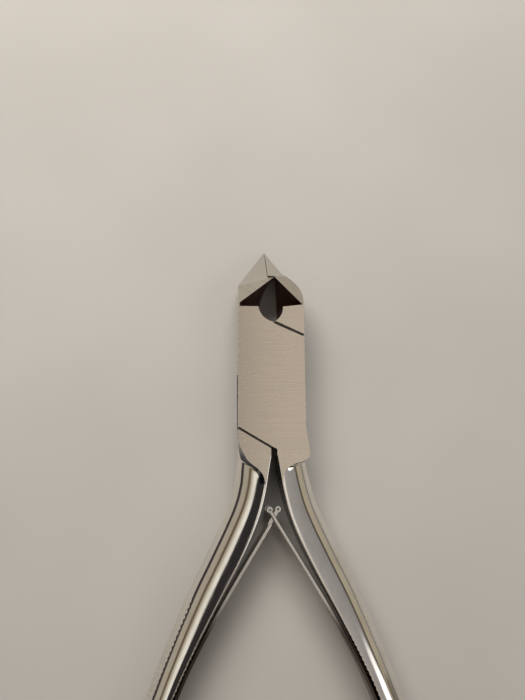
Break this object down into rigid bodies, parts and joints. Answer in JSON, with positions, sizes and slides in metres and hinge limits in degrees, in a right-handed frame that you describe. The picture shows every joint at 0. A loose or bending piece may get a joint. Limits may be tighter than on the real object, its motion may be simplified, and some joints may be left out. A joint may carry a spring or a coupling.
{
  "type": "cuticle nipper",
  "caption": "Steel cuticle nipper with slanting pointed jaws, a flat box joint, bowed D-shaped handles and crossed leaf springs.",
  "frame": {"origin": "on the pivot pin's axis, in the plane of the box joint's back face that the nipper lies on", "axes": "+Y towards the tip of the jaws, +Z out of the front face along the pin, +X towards the right handle"},
  "size_m": [0.0476, 0.1063, 0.006],
  "materials": {
    "half_steel": "ground satin on the box joint and the jaws, polished on the handles",
    "pin_steel": "ground flush",
    "spring_steel": "fine ground",
    "screw_steel": "polished"
  },
  "bodies": {
    "outer": {"outer_half": "half_steel", "pivot_pin": "pin_steel", "fork_spring_screw": "screw_steel"},
    "inner": {"inner_half": "half_steel", "tongue_spring_screw": "screw_steel"},
    "fork_leaf": {"fork_spring": "spring_steel"},
    "tongue_leaf": {"tongue_spring": "spring_steel"}
  },
  "joints": [
    {"name": "jaw_pivot", "type": "hinge", "parent": "outer", "child": "inner", "pos_m": [0, 0, 0.003], "axis": [0, 0, -1], "range_deg": [0, 12], "stiffness_Nm_per_rad": 0.15, "springref_deg": 20.05},
    {"name": "fork_leaf_bend", "type": "hinge", "parent": "outer", "child": "fork_leaf", "pos_m": [0.01518, -0.0473, 0.003], "axis": [0, 0, 1], "range_deg": [0, 4.2]},
    {"name": "tongue_leaf_bend", "type": "hinge", "parent": "inner", "child": "tongue_leaf", "pos_m": [-0.01518, -0.0473, 0.003], "axis": [0, 0, -1], "range_deg": [0, 4.2]}
  ],
  "couplings": [
    {"joint": "fork_leaf_bend", "follows": "jaw_pivot", "ratio": 0.3416},
    {"joint": "tongue_leaf_bend", "follows": "jaw_pivot", "ratio": 0.3416}
  ]
}
